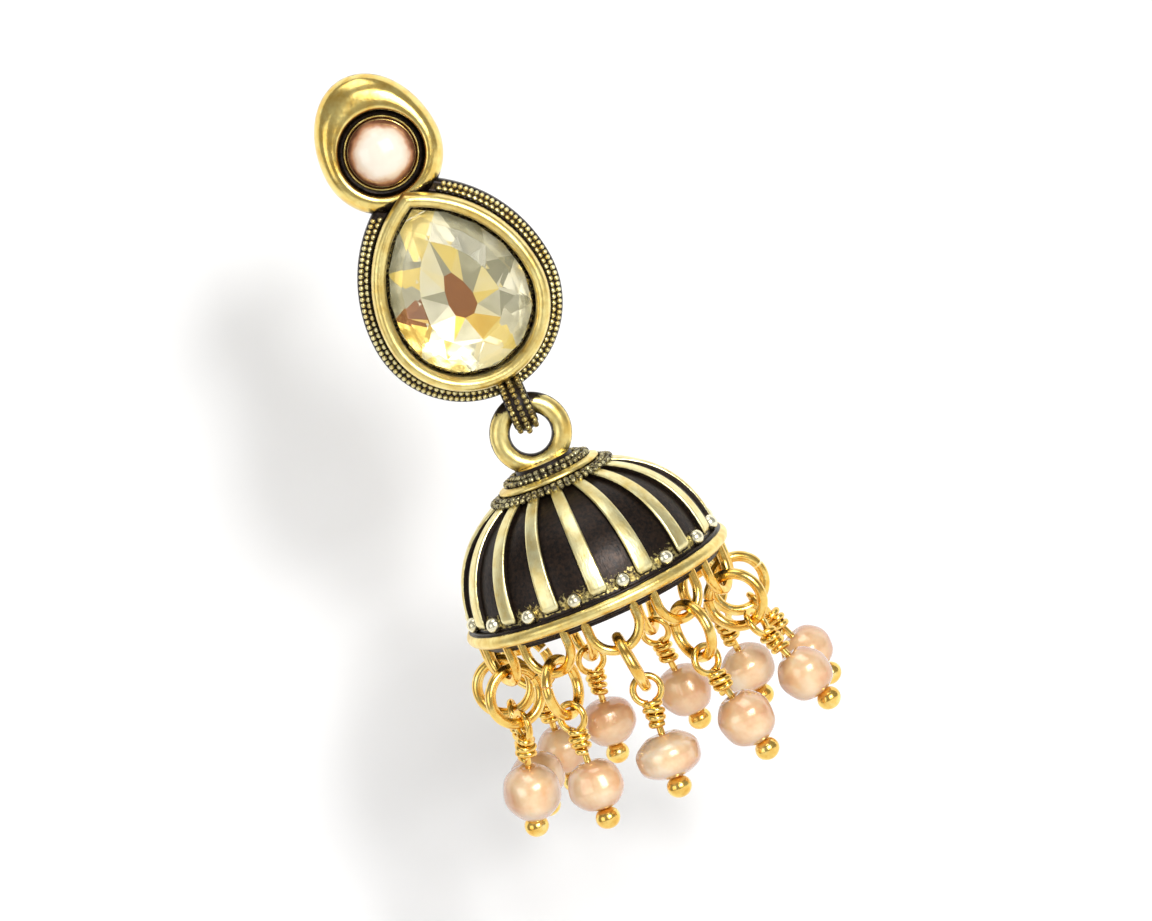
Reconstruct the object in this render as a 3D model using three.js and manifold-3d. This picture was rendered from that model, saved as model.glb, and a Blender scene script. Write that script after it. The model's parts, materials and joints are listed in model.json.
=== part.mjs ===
// A jhumka earring, in millimetres with +Z up and the front towards -Y.
// A stud plate with a half pearl and a pear setting with a glass stone are one casting, with the ear post
// and the eyelet soldered on. A fluted bell hangs in the eyelet by its ring, and eleven pearls hang from the
// bell's rim, each on a head pin and a jump ring. The origin is where the ear post leaves the plate's flat back.
import * as THREE from 'three';
import { mergeVertices } from 'three/addons/utils/BufferGeometryUtils.js';
import Module from 'manifold-3d';

const wasm = await Module();
wasm.setup();

const DEG = Math.PI / 180;

// ---- Driving dimensions ----

// Stud plate: an egg outline of two half ellipses around the post's axis, and the round well in it.
const PLATE_HALF_WIDTH = 3.55;
const PLATE_ABOVE = 4.75;
const PLATE_BELOW = 3.6;
const WELL_RADIUS = 2.48;
const WELL_FLOOR = 0.7;          // metal left behind the well
const PLATE_LEAN = 5 * DEG;      // the plate and the setting lean this much, tip to the left

// Half pearl in the well.
const HALF_PEARL_RADIUS = 2.0;
const HALF_PEARL_BASE = 1.0;
const HALF_PEARL_HEIGHT = 1.7;

// Pear setting: the outer outline of its bezel, and how far its centre is below the post.
const PEAR_RADIUS = 4.95;
const PEAR_SIDE_RADIUS = 7.86;
const PEAR_DROP = 9.85;

// Ear post.
const POST_RADIUS = 0.42;
const POST_LENGTH = 10.5;

// Eyelet under the setting, which holds the bell's ring.
const HINGE_DROP = 16.45;
const HINGE_FORWARD = 1.7;
const EYELET_HOLE = 1.05;
const EYELET_OUTER = 1.7;
const EYELET_WIDTH = 1.5;

// Ring on the bell.
const RING_RADIUS = 1.8;
const RING_WIRE = 0.6;

// Bell, measured down from the middle of the ring's upper wire.
const RIM_DROP = 11.5;
const SHELL_RADIUS = 7.45;
const SHELL_HEIGHT = 6.85;
const SHELL_POWER = 2.3;         // 2 would be an ellipse; more is fuller in the shoulder
const SHELL_WALL = 0.5;
const SKIRT_DEPTH = 0.8;
const RIB_COUNT = 16;
const RIB_RISE = 0.3;
const RIB_FOOT = 0.7;            // height of a rib's lower end above the rim's middle
const RIB_TOP_RADIUS = 2.7;
const RIB_WIDTH_FOOT = 1.1;
const RIB_WIDTH_TOP = 0.7;
const GRANULE_RADIUS = 0.47;
const GRANULE_LEVEL = 0.95;
const BELL_SEGMENTS = 32;

// Loops under the bell, and what hangs in each.
const LOOP_COUNT = 11;
const LOOP_RADIUS = 1.47;
const LOOP_WIRE = 0.29;
const LOOP_LEG = 1.0;
const LOOP_DROP = 1.2;            // from the rim's middle down to where a loop's half turn starts
const LOOP_CIRCLE = 7.35;
const LINK_RADIUS = 1.6;
const LINK_WIRE = 0.32;
const EYE_RADIUS = 0.8;
const PIN_WIRE = 0.2;
const WRAP_RADIUS = 0.5;
const HANG_GAP = 0.12;           // clearance where one wire hangs on another
const BEAD_TOP = 2.65;           // from the jump ring's lower wire down to the bead
const BEAD_BORE = 0.32;
const BALL_RADIUS = 0.6;
const BALL_DROP = 0.42;           // from the bead's lower end to the ball's middle
const WRAP_GAP = 0.3;             // from the wrapped neck to the bead

// One row for each pearl drop, from the back left round by the front to the back right. out and side tilt the
// jump ring away from the bell and towards the right seen from outside; pin_side tilts the pin further.
const DROPS = [
  { out: 6, side: 0, pin_side: 6, width: 3.4, height: 3.2 },
  { out: 6, side: -3, pin_side: 0, width: 3.2, height: 3.3 },
  { out: 4, side: 2, pin_side: -8, width: 3.4, height: 3.1 },
  { out: 9, side: -3, pin_side: -14, width: 3.6, height: 3.5 },
  { out: 7, side: -3, pin_side: 3, width: 3.4, height: 3.2 },
  { out: 6, side: 7, pin_side: -12, width: 4.1, height: 2.9 },
  { out: 6, side: -3, pin_side: 12, width: 3.5, height: 3.4 },
  { out: 20, side: 3, pin_side: 2, width: 3.2, height: 3.2 },
  { out: 22, side: 3, pin_side: -4, width: 3.3, height: 3.1 },
  { out: 10, side: 0, pin_side: 4, width: 3.4, height: 3.2 },
  { out: 6, side: 3, pin_side: -5, width: 3.4, height: 3.3 },
];

// ---- Materials ----

function finish(color, roughness, metalness) {
  return new THREE.MeshStandardMaterial({ color, roughness, metalness });
}

const antiqueGold = () => finish(0xc4a04e, 0.3, 1);
const wireGold = () => finish(0xe0b048, 0.25, 1);
const glass = () => finish(0xf2eac4, 0.08, 0);
const halfPearlCream = () => finish(0xf6f0e4, 0.25, 0);
const pearlPeach = () => finish(0xe4b898, 0.28, 0);

// ---- Helpers ----

// A geometry as a manifold solid.
function solidOf(geometry) {
  const bare = geometry.clone();
  bare.deleteAttribute('normal');
  bare.deleteAttribute('uv');
  const merged = mergeVertices(bare, 1e-4);
  return new wasm.Manifold(new wasm.Mesh({
    numProp: 3,
    vertProperties: new Float32Array(merged.attributes.position.array),
    triVerts: new Uint32Array(merged.index.array),
  }));
}

// A manifold solid as a geometry.
function geometryOf(solid) {
  const mesh = solid.getMesh();
  const geometry = new THREE.BufferGeometry();
  geometry.setAttribute('position', new THREE.BufferAttribute(new Float32Array(mesh.vertProperties), 3));
  geometry.setIndex(new THREE.BufferAttribute(new Uint32Array(mesh.triVerts), 1));
  return geometry;
}

function named(name, geometry, material) {
  const mesh = new THREE.Mesh(geometry, material);
  mesh.name = name;
  return mesh;
}

// Six times the volume that a triangle list encloses, negative when it is inside out.
function signedVolume(points, triangles) {
  let sum = 0;
  for (let i = 0; i < triangles.length; i += 3) {
    const [a, b, c] = [points[triangles[i]], points[triangles[i + 1]], points[triangles[i + 2]]];
    sum += a.dot(new THREE.Vector3().crossVectors(b, c));
  }
  return sum;
}

// A closed solid through rings of equally many points, with its ends closed as fans round their hubs.
function loft(rings, firstHub, lastHub) {
  const count = rings[0].length;
  const points = [...rings.flat(), firstHub, lastHub];
  const triangles = [];
  for (let i = 0; i < count; i += 1) {
    const j = (i + 1) % count;
    for (let k = 0; k + 1 < rings.length; k += 1) {
      const low = k * count;
      const high = low + count;
      triangles.push(low + i, low + j, high + j, low + i, high + j, high + i);
    }
    const last = (rings.length - 1) * count;
    triangles.push(points.length - 2, j, i, points.length - 1, last + i, last + j);
  }
  if (signedVolume(points, triangles) < 0) triangles.reverse();
  const geometry = new THREE.BufferGeometry().setFromPoints(points);
  geometry.setIndex(triangles);
  return geometry;
}

// A turned solid around Z from [radius, height] pairs.
function turned(profile, segments) {
  const points = profile.map(([radius, height]) => new THREE.Vector2(radius, height));
  return new THREE.LatheGeometry(points, segments).rotateX(Math.PI / 2);
}

// A round polygon for the section of a wire.
function wireSection(radius, sides) {
  const shape = new THREE.Shape();
  for (let i = 0; i < sides; i += 1) {
    const angle = (i / sides) * 2 * Math.PI;
    const corner = [radius * Math.cos(angle), radius * Math.sin(angle)];
    if (i === 0) shape.moveTo(...corner);
    else shape.lineTo(...corner);
  }
  shape.closePath();
  return shape;
}

// ---- Plate and setting ----

// Outline of the pear grown by offset: a round lower half, and two side arcs that meet in the tip.
function pearOutline(offset) {
  const shift = PEAR_SIDE_RADIUS - PEAR_RADIUS;
  const round = PEAR_RADIUS + offset;
  const side = PEAR_SIDE_RADIUS + offset;
  const tip = Math.acos(shift / side);
  const sideSteps = 10;
  const roundSteps = 18;
  const outline = [];
  for (let i = 0; i < sideSteps; i += 1) {
    const angle = tip * (1 - i / sideSteps);
    outline.push([side * Math.cos(angle) - shift, side * Math.sin(angle)]);
  }
  for (let i = 0; i < roundSteps; i += 1) {
    const angle = -Math.PI * (i / roundSteps);
    outline.push([round * Math.cos(angle), round * Math.sin(angle)]);
  }
  for (let i = 0; i < sideSteps; i += 1) {
    const angle = Math.PI - tip * (i / sideSteps);
    outline.push([side * Math.cos(angle) + shift, side * Math.sin(angle)]);
  }
  return outline;
}

// A solid of pear outlines, each grown by its row's offset and moved forward by its depth.
function pearSolid(rows) {
  const rings = rows.map(({ offset, depth }) => pearOutline(offset)
    .map(([x, z]) => new THREE.Vector3(x, -depth, z - PEAR_DROP)));
  const hub = (depth) => new THREE.Vector3(0, -depth, -PEAR_DROP);
  return loft(rings, hub(rows[0].depth), hub(rows[rows.length - 1].depth));
}

// Flange, bezel wall with a rounded lip, inner wall and floor, in one profile.
function settingBody() {
  return pearSolid([
    { offset: 0.8, depth: 0 },
    { offset: 0.8, depth: 0.95 },
    { offset: 0.6, depth: 1.2 },
    { offset: 0.0, depth: 1.25 },
    { offset: 0.0, depth: 2.6 },
    { offset: -0.15, depth: 2.9 },
    { offset: -0.42, depth: 3.0 },
    { offset: -0.7, depth: 2.9 },
    { offset: -0.83, depth: 2.6 },
    { offset: -0.83, depth: 1.0 },
  ]);
}

// A ring of the plate's surface, from just inside the round well (spread 0) to the egg outline (spread 1).
function plateRing({ spread, depth }) {
  const count = 40;
  const inside = WELL_RADIUS - 0.1;
  const ring = [];
  for (let i = 0; i < count; i += 1) {
    const angle = (i / count) * 2 * Math.PI;
    const [cos, sin] = [Math.cos(angle), Math.sin(angle)];
    const tall = sin > 0 ? PLATE_ABOVE : PLATE_BELOW;
    const x = cos * THREE.MathUtils.lerp(inside, PLATE_HALF_WIDTH, spread);
    const z = sin * THREE.MathUtils.lerp(inside, tall, spread);
    ring.push(new THREE.Vector3(x, -depth, z));
  }
  return ring;
}

// The domed plate, before the well for the half pearl is cut.
function plateBody() {
  const rows = [
    { spread: 1, depth: 0 },
    { spread: 1, depth: 0.75 },
    { spread: 0.85, depth: 1.2 },
    { spread: 0.5, depth: 1.6 },
    { spread: 0.15, depth: 1.6 },
    { spread: 0, depth: 1.5 },
  ];
  const hub = (depth) => new THREE.Vector3(0, -depth, 0);
  return loft(rows.map(plateRing), hub(rows[0].depth), hub(rows[rows.length - 1].depth));
}

// What is cut away for the half pearl's well.
function wellCut() {
  const reach = 4;
  return new THREE.CylinderGeometry(WELL_RADIUS, WELL_RADIUS, reach, 40)
    .translate(0, -WELL_FLOOR - reach / 2, 0);
}

// The ear post, a plain round pin with a chamfered end, rooted a little inside the plate.
function earPost() {
  const root = -0.3;
  const chamfer = 0.3;
  const profile = [
    [0, root],
    [POST_RADIUS, root],
    [POST_RADIUS, POST_LENGTH - chamfer],
    [POST_RADIUS - chamfer, POST_LENGTH],
    [0, POST_LENGTH],
  ];
  return new THREE.LatheGeometry(profile.map(([radius, y]) => new THREE.Vector2(radius, y)), 12);
}

// Where the bell's ring turns in the eyelet.
const hinge = new THREE.Vector3(
  HINGE_DROP * Math.sin(PLATE_LEAN),
  -HINGE_FORWARD,
  -HINGE_DROP * Math.cos(PLATE_LEAN),
);

// A disc along X round the hinge.
function discOnHinge(radius, width) {
  return new THREE.CylinderGeometry(radius, radius, width, 20).rotateZ(Math.PI / 2)
    .translate(hinge.x, hinge.y, hinge.z);
}

// The whole soldered casting, leaning on its post, with the eyelet's hole cut last.
function studSetting() {
  const lean = (geometry) => solidOf(geometry.rotateY(-PLATE_LEAN));
  return geometryOf(lean(plateBody())
    .add(lean(settingBody()))
    .subtract(lean(wellCut()))
    .add(lean(earPost()))
    .add(solidOf(discOnHinge(EYELET_OUTER, EYELET_WIDTH)))
    .subtract(solidOf(discOnHinge(EYELET_HOLE, EYELET_WIDTH + 0.2))));
}

// ---- Stones ----

function halfPearl() {
  const steps = 6;
  const profile = [[0, -HALF_PEARL_BASE]];
  for (let i = 0; i <= steps; i += 1) {
    const angle = (i / steps) * 90 * DEG;
    const radius = i === steps ? 0 : HALF_PEARL_RADIUS * Math.cos(angle);
    profile.push([radius, -HALF_PEARL_BASE - HALF_PEARL_HEIGHT * Math.sin(angle)]);
  }
  const points = profile.reverse().map(([radius, y]) => new THREE.Vector2(radius, y));
  return new THREE.LatheGeometry(points, 20).rotateY(-PLATE_LEAN);
}

// The faceted pear stone, from its flat back over the girdle to the table.
function pearStone() {
  return pearSolid([
    { offset: -1.5, depth: 1.2 },
    { offset: -1.0, depth: 1.7 },
    { offset: -1.0, depth: 2.0 },
    { offset: -1.6, depth: 2.6 },
    { offset: -2.5, depth: 2.95 },
  ]).rotateY(-PLATE_LEAN);
}

// ---- Bell ----

// A point of the bell's superellipse profile at an angle above the rim, grown outwards by rise.
function onShell(angle, rise) {
  const power = 2 / SHELL_POWER;
  return [
    (SHELL_RADIUS + rise) * Math.cos(angle) ** power,
    (SHELL_HEIGHT + rise) * Math.sin(angle) ** power - RIM_DROP,
  ];
}

// The profile's angle at a height above the rim, and at a radius.
const angleAtHeight = (height) => Math.asin((height / SHELL_HEIGHT) ** (SHELL_POWER / 2));
const angleAtRadius = (radius) => Math.acos((radius / SHELL_RADIUS) ** (SHELL_POWER / 2));

// Stepped cap, shell, half-round rim band and skirt, hollow inside and open below.
function bellShell() {
  const outer = [];
  const inner = [];
  const steps = 6;
  for (let i = 0; i <= steps; i += 1) {
    outer.push(onShell((66 - 62 * (i / steps)) * DEG, 0));
    inner.push(onShell(((90 * i) / steps) * DEG, -SHELL_WALL));
  }
  inner[steps][0] = 0;
  return turned([
    [0, -3.5],
    [1.7, -3.55],
    [1.85, -3.85],
    [2.85, -4.2],
    [3.05, -4.35],
    [3.0, -4.55],
    ...outer,
    [7.7, -RIM_DROP + 0.5],
    [8.08, -RIM_DROP + 0.28],
    [8.2, -RIM_DROP],
    [8.08, -RIM_DROP - 0.28],
    [7.7, -RIM_DROP - 0.5],
    [SHELL_RADIUS, -RIM_DROP - 0.6],
    [SHELL_RADIUS, -RIM_DROP - SKIRT_DEPTH],
    [SHELL_RADIUS - SHELL_WALL, -RIM_DROP - SKIRT_DEPTH],
    ...inner,
  ].reverse(), BELL_SEGMENTS);
}

// One flat raised rib at the front, widening from the cap to the rim.
function rib() {
  const steps = 4;
  const foot = angleAtHeight(RIB_FOOT);
  const head = angleAtRadius(RIB_TOP_RADIUS);
  const rings = [];
  for (let i = 0; i <= steps; i += 1) {
    const angle = THREE.MathUtils.lerp(foot, head, i / steps);
    const half = THREE.MathUtils.lerp(RIB_WIDTH_FOOT, RIB_WIDTH_TOP, i / steps) / 2;
    const [inR, inZ] = onShell(angle, -SHELL_WALL / 2);
    const [outR, outZ] = onShell(angle, RIB_RISE);
    rings.push([
      new THREE.Vector3(-half, -inR, inZ),
      new THREE.Vector3(half, -inR, inZ),
      new THREE.Vector3(half, -outR, outZ),
      new THREE.Vector3(-half, -outR, outZ),
    ]);
  }
  const middle = (ring) => ring.reduce((sum, p) => sum.add(p), new THREE.Vector3()).divideScalar(4);
  return loft(rings, middle(rings[0]), middle(rings[steps]));
}

function granule() {
  const [radius] = onShell(angleAtHeight(GRANULE_LEVEL), 0.05);
  return new THREE.SphereGeometry(GRANULE_RADIUS, 7, 4).translate(0, -radius, GRANULE_LEVEL - RIM_DROP);
}

// The line of a hanging U in the XZ plane: a leg down, a half turn and a leg up.
class LoopLine extends THREE.Curve {
  getPoint(t, target = new THREE.Vector3()) {
    const arc = Math.PI * LOOP_RADIUS;
    const along = t * (arc + 2 * LOOP_LEG);
    if (along < LOOP_LEG) return target.set(-LOOP_RADIUS, 0, LOOP_LEG - along);
    if (along > LOOP_LEG + arc) return target.set(LOOP_RADIUS, 0, along - LOOP_LEG - arc);
    const angle = (along - LOOP_LEG) / LOOP_RADIUS;
    return target.set(-LOOP_RADIUS * Math.cos(angle), 0, -LOOP_RADIUS * Math.sin(angle));
  }
}

// One wire loop under the rim, with its legs sunk in the skirt and the rim band.
function beadLoop() {
  return new THREE.ExtrudeGeometry(wireSection(LOOP_WIRE, 5), {
    steps: 9,
    extrudePath: new LoopLine(),
    bevelEnabled: false,
  }).translate(0, -LOOP_CIRCLE, -RIM_DROP - LOOP_DROP);
}

function hangingRing() {
  return new THREE.TorusGeometry(RING_RADIUS, RING_WIRE, 8, 20).rotateX(Math.PI / 2)
    .translate(0, 0, -RING_RADIUS);
}

// The bell with all that is soldered to it, around the hinge.
function bell() {
  let solid = solidOf(bellShell()).add(solidOf(hangingRing()));
  const pitch = (2 * Math.PI) / RIB_COUNT;
  for (let i = 0; i < RIB_COUNT; i += 1) {
    solid = solid.add(solidOf(rib().rotateZ(i * pitch)));
    solid = solid.add(solidOf(granule().rotateZ((i + 0.5) * pitch)));
  }
  for (let i = 0; i < LOOP_COUNT; i += 1) {
    solid = solid.add(solidOf(beadLoop().rotateZ((i * 2 * Math.PI) / LOOP_COUNT)));
  }
  return geometryOf(solid);
}

// ---- Pearl drops ----

// The jump ring, edge-on to the bell, around the middle of the loop's lower wire.
function jumpRing() {
  const lift = LOOP_WIRE + LINK_WIRE + HANG_GAP;
  return new THREE.TorusGeometry(LINK_RADIUS, LINK_WIRE, 5, 13).rotateY(Math.PI / 2)
    .translate(0, 0, lift - LINK_RADIUS);
}

// The head pin: an eye, a wrapped neck, the wire through the bead and its ball end.
function headPin(beadHeight) {
  const eyeMiddle = LINK_WIRE + PIN_WIRE + HANG_GAP - EYE_RADIUS;
  const neck = eyeMiddle - EYE_RADIUS;
  const ball = -BEAD_TOP - beadHeight - BALL_DROP;
  const eye = new THREE.TorusGeometry(EYE_RADIUS, PIN_WIRE, 4, 10).rotateX(Math.PI / 2)
    .translate(0, 0, eyeMiddle);
  const stem = turned([
    [0, ball - BALL_RADIUS],
    [BALL_RADIUS * 0.7, ball - BALL_RADIUS * 0.7],
    [BALL_RADIUS, ball],
    [BALL_RADIUS * 0.6, ball + BALL_RADIUS * 0.5],
    [PIN_WIRE, ball + BALL_RADIUS * 0.6],
    [PIN_WIRE, -BEAD_TOP + WRAP_GAP - 0.05],
    [WRAP_RADIUS, -BEAD_TOP + WRAP_GAP],
    [WRAP_RADIUS, neck - 0.05],
    [0, neck],
  ], 7);
  return geometryOf(solidOf(eye).add(solidOf(stem)));
}

// A bored pearl, round or flattened, closed on itself around its bore.
function pearlBead(width, height) {
  const steps = 6;
  const profile = [];
  const start = Math.acos((BEAD_BORE * 2) / width);
  for (let i = 0; i <= steps; i += 1) {
    const angle = THREE.MathUtils.lerp(-start, start, i / steps);
    profile.push([(width / 2) * Math.cos(angle), (height / 2) * Math.sin(angle)]);
  }
  profile.push([...profile[0]]);
  return turned(profile, 11).translate(0, 0, -BEAD_TOP - height / 2);
}

// One drop in its loop: the jump ring turns on the loop, and the pin on the jump ring.
function pearlDrop(row, index) {
  const pin = new THREE.Group();
  pin.position.z = LOOP_WIRE + LINK_WIRE + HANG_GAP - 2 * LINK_RADIUS;
  pin.rotation.y = -row.pin_side * DEG;
  pin.add(named(`head_pin_${index}`, headPin(row.height), wireGold()));
  pin.add(named(`pearl_${index}`, pearlBead(row.width, row.height), pearlPeach()));
  const link = new THREE.Group();
  link.position.set(0, -LOOP_CIRCLE, -RIM_DROP - LOOP_DROP - LOOP_RADIUS);
  link.rotation.set(-row.out * DEG, -row.side * DEG, 0);
  link.add(named(`jump_ring_${index}`, jumpRing(), wireGold()), pin);
  const around = new THREE.Group();
  around.rotation.z = (index - 1 - Math.floor(LOOP_COUNT / 2)) * ((2 * Math.PI) / LOOP_COUNT);
  around.add(link);
  return around;
}

// ---- Earring ----

const earring = new THREE.Group();
earring.add(named('stud_setting', studSetting(), antiqueGold()));
earring.add(named('half_pearl', halfPearl(), halfPearlCream()));
earring.add(named('pear_stone', pearStone(), glass()));
const drop = new THREE.Group();
drop.position.copy(hinge);
drop.add(named('bell', bell(), antiqueGold()));
DROPS.forEach((row, i) => drop.add(pearlDrop(row, i + 1)));
earring.add(drop);

export default earring;
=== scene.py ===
"""Looks of a jhumka earring: polished and oxidised gold, a foiled glass pear stone, a half pearl,
a fluted bell and eleven pearls on wrapped head pins. All shapes are worked out in millimetres."""
import json
import math

import bpy
import numpy as np
from mathutils import Matrix, Vector


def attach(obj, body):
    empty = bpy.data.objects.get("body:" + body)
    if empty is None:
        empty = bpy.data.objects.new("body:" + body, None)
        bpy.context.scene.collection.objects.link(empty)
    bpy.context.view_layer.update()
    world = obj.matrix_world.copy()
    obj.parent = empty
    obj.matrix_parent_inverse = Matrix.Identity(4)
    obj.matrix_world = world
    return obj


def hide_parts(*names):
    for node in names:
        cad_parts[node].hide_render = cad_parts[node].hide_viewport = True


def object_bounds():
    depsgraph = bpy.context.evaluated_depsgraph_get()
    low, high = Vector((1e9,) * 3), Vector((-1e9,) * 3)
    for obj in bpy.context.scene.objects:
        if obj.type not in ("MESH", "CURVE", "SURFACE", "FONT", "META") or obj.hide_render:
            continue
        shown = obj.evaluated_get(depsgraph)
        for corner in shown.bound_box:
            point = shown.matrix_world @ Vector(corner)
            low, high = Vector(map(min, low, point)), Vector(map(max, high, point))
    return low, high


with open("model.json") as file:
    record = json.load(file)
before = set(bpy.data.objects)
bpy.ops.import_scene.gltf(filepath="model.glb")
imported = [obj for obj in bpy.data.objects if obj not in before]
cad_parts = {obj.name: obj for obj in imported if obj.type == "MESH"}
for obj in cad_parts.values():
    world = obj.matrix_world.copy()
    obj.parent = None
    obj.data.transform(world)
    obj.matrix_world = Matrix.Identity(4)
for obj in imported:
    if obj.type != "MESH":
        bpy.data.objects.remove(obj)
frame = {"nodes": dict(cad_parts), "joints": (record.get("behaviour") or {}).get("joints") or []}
cad_low, cad_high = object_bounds()

MM = 0.001
TURN = 2 * math.pi

# ---- Sizes of the plate and the setting, mm ----
LEAN = math.radians(5)           # of the plate on its post
PLATE_HALF_WIDTH, PLATE_ABOVE, PLATE_BELOW = 3.55, 4.75, 3.6
WELL_RADIUS, WELL_FLOOR = 2.48, 0.75
PEAR_RADIUS, PEAR_SIDE_RADIUS, PEAR_DROP = 4.95, 7.86, 9.85
PEAR_SIDE_SHARE = 0.29           # of the outline's steps on each side arc
FLANGE_ROWS = ((0.24, 1.2, 0.36, 0.175), (0.58, 1.18, 0.33, 0.15))    # offset, depth, spacing, bead radius
HALF_PEARL_RADIUS, HALF_PEARL_RISE, HALF_PEARL_FOOT = 1.99, 1.68, 0.98
PEARL_RIM_RADIUS, PEARL_RIM_WIRE = 2.12, 0.1
POST_RADIUS, POST_LENGTH, POST_FILLET = 0.42, 10.5, 0.45
EYELET_HOLE, EYELET_OUTER, EYELET_WIDTH = 1.05, 1.68, 1.46
EYELET_BEADS, EYELET_BEAD = 28, 0.18
CROWN_SIDES, FOIL_SIDES = 14, 10

# Levels of the cut stone, as (offset, depth), from the middle of its back round to the middle of its front
CROWN_LEVELS = ((-1.5, 1.68), (-0.98, 1.78), (-0.98, 1.95), (-1.7, 2.6), (-2.7, 2.95))
FOIL_LEVELS = ((-4.0, 1.05), (-2.7, 1.1), (-1.0, 1.58), (-1.0, 1.66), (-2.7, 1.3), (-4.15, 1.18))

# ---- Sizes of the bell, mm, down from the hinge ----
RING_RADIUS, RING_WIRE = 1.8, 0.6
RIM_DROP, SHELL_RADIUS, SHELL_HEIGHT, SHELL_POWER, SHELL_WALL = 11.5, 7.45, 6.85, 2.3, 0.5
SKIRT_DEPTH = 0.8
BAND_RADIUS, BAND_OUT, BAND_UP = 7.74, 0.45, 0.4
LIP_RADIUS, LIP_HALF = 7.78, 0.52
CAP_ROWS = ((2.05, -3.83, 30, 0.19), (2.5, -4.02, 38, 0.19), (3.28, -4.68, 52, 0.19),
            (3.66, -4.82, 56, 0.18))                                  # radius, height, count, bead radius
RIBS, RIB_RISE, RIB_FOOT, RIB_TOP_RADIUS = 16, 0.3, 0.72, 2.8
RIB_FOOT_WIDTH, RIB_TOP_WIDTH = 1.1, 0.7
GRANULE_RADIUS, GRANULE_LEVEL = 0.47, 0.95
LOOPS, LOOP_RADIUS, LOOP_WIRE, LOOP_LEG, LOOP_CIRCLE, LOOP_DROP = 11, 1.47, 0.29, 1.0, 7.35, 1.2
LINK_RADIUS, LINK_WIRE = 1.6, 0.32
EYE_RADIUS, PIN_WIRE, PIN_TOP, BEAD_TOP = 0.8, 0.2, 0.84, 2.65
BALL_RADIUS, BALL_DROP = 0.72, 0.42
WRAP_TURNS, WRAP_RADIUS = 3.4, 0.36

HINGE = np.array(frame["joints"][0]["pos_m"]) / MM


# ---- Shape helpers: a shell is (points, triangles, tone): on gold 0 is rubbed bright and 1 oxidised, with painted shade in a few places; on the half pearl the tone is painted edge shade and on the foil it picks painted reflections ----

def unit(v):
    """Vectors divided by their lengths."""
    return v / np.linalg.norm(v, axis=-1, keepdims=True)


def ramp(x, low, high):
    """0 below low, 1 above high, and a smooth S between."""
    t = np.clip((x - low) / (high - low), 0, 1)
    return t * t * (3 - 2 * t)


def shell(grid, patina_and_painted_light=0.0, wrap_rows=False):
    """Two triangles in each cell of a grid of rings. The columns close on themselves, and so do the rows if
    asked; otherwise the first and last rings are filled as fans round their middles."""
    rows, columns = grid.shape[:2]
    r, c = np.meshgrid(np.arange(rows if wrap_rows else rows - 1), np.arange(columns), indexing="ij")
    below, beside = (r + 1) % rows, (c + 1) % columns
    a, b = r * columns + c, r * columns + beside
    d, e = below * columns + beside, below * columns + c
    triangles = [np.stack([a, b, d], -1).reshape(-1, 3), np.stack([a, d, e], -1).reshape(-1, 3)]
    points = [grid.reshape(-1, 3)]
    tone = np.broadcast_to(np.asarray(patina_and_painted_light, float), (rows, columns))
    tones = [tone.reshape(-1)]
    if not wrap_rows:
        ring, around = np.arange(columns), (np.arange(columns) + 1) % columns
        last = (rows - 1) * columns
        hub = np.full(columns, rows * columns)
        triangles.append(np.stack([hub, around, ring], -1))
        triangles.append(np.stack([hub + 1, last + ring, last + around], -1))
        points.append(np.stack([grid[0].mean(0), grid[-1].mean(0)]))
        tones.append(np.array([tone[0].mean(), tone[-1].mean()]))
    return np.concatenate(points), np.concatenate(triangles), np.concatenate(tones)


def facing_out(part):
    """The shell with its triangles turned round if the volume that they enclose comes out negative."""
    points, triangles, tones = part
    a, b, c = (points[triangles[:, i]] for i in range(3))
    if np.einsum("ij,ij->", a, np.cross(b, c)) < 0:
        triangles = triangles[:, ::-1]
    return points, triangles, tones


def moved(part, turn=None, shift=(0, 0, 0)):
    """The shell after a 3 by 3 turn and a shift."""
    points, triangles, tones = part
    points = points if turn is None else points @ np.asarray(turn).T
    return points + np.asarray(shift), triangles, tones


def repeated(part, turns, shifts):
    """Copies of a shell, one for each turn and shift, as one shell: all copies in one array product."""
    points, triangles, tones = part
    copies = np.einsum("nij,pj->npi", turns, points) + shifts[:, None, :]
    steps = np.arange(len(shifts))[:, None, None] * len(points)
    return copies.reshape(-1, 3), (triangles[None] + steps).reshape(-1, 3), np.tile(tones, len(shifts))


def turns_about_z(angles):
    """One 3 by 3 turn about Z for each angle."""
    c, s, zero = np.cos(angles), np.sin(angles), np.zeros_like(angles)
    return np.stack([c, -s, zero, s, c, zero, zero, zero, zero + 1], -1).reshape(-1, 3, 3)


def around_bell(part, count, phase=0.0):
    """Copies of a shell at even steps about the bell's axis."""
    angles = (np.arange(count) + phase) * TURN / count
    return repeated(part, turns_about_z(angles), np.zeros((count, 3)))


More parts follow.
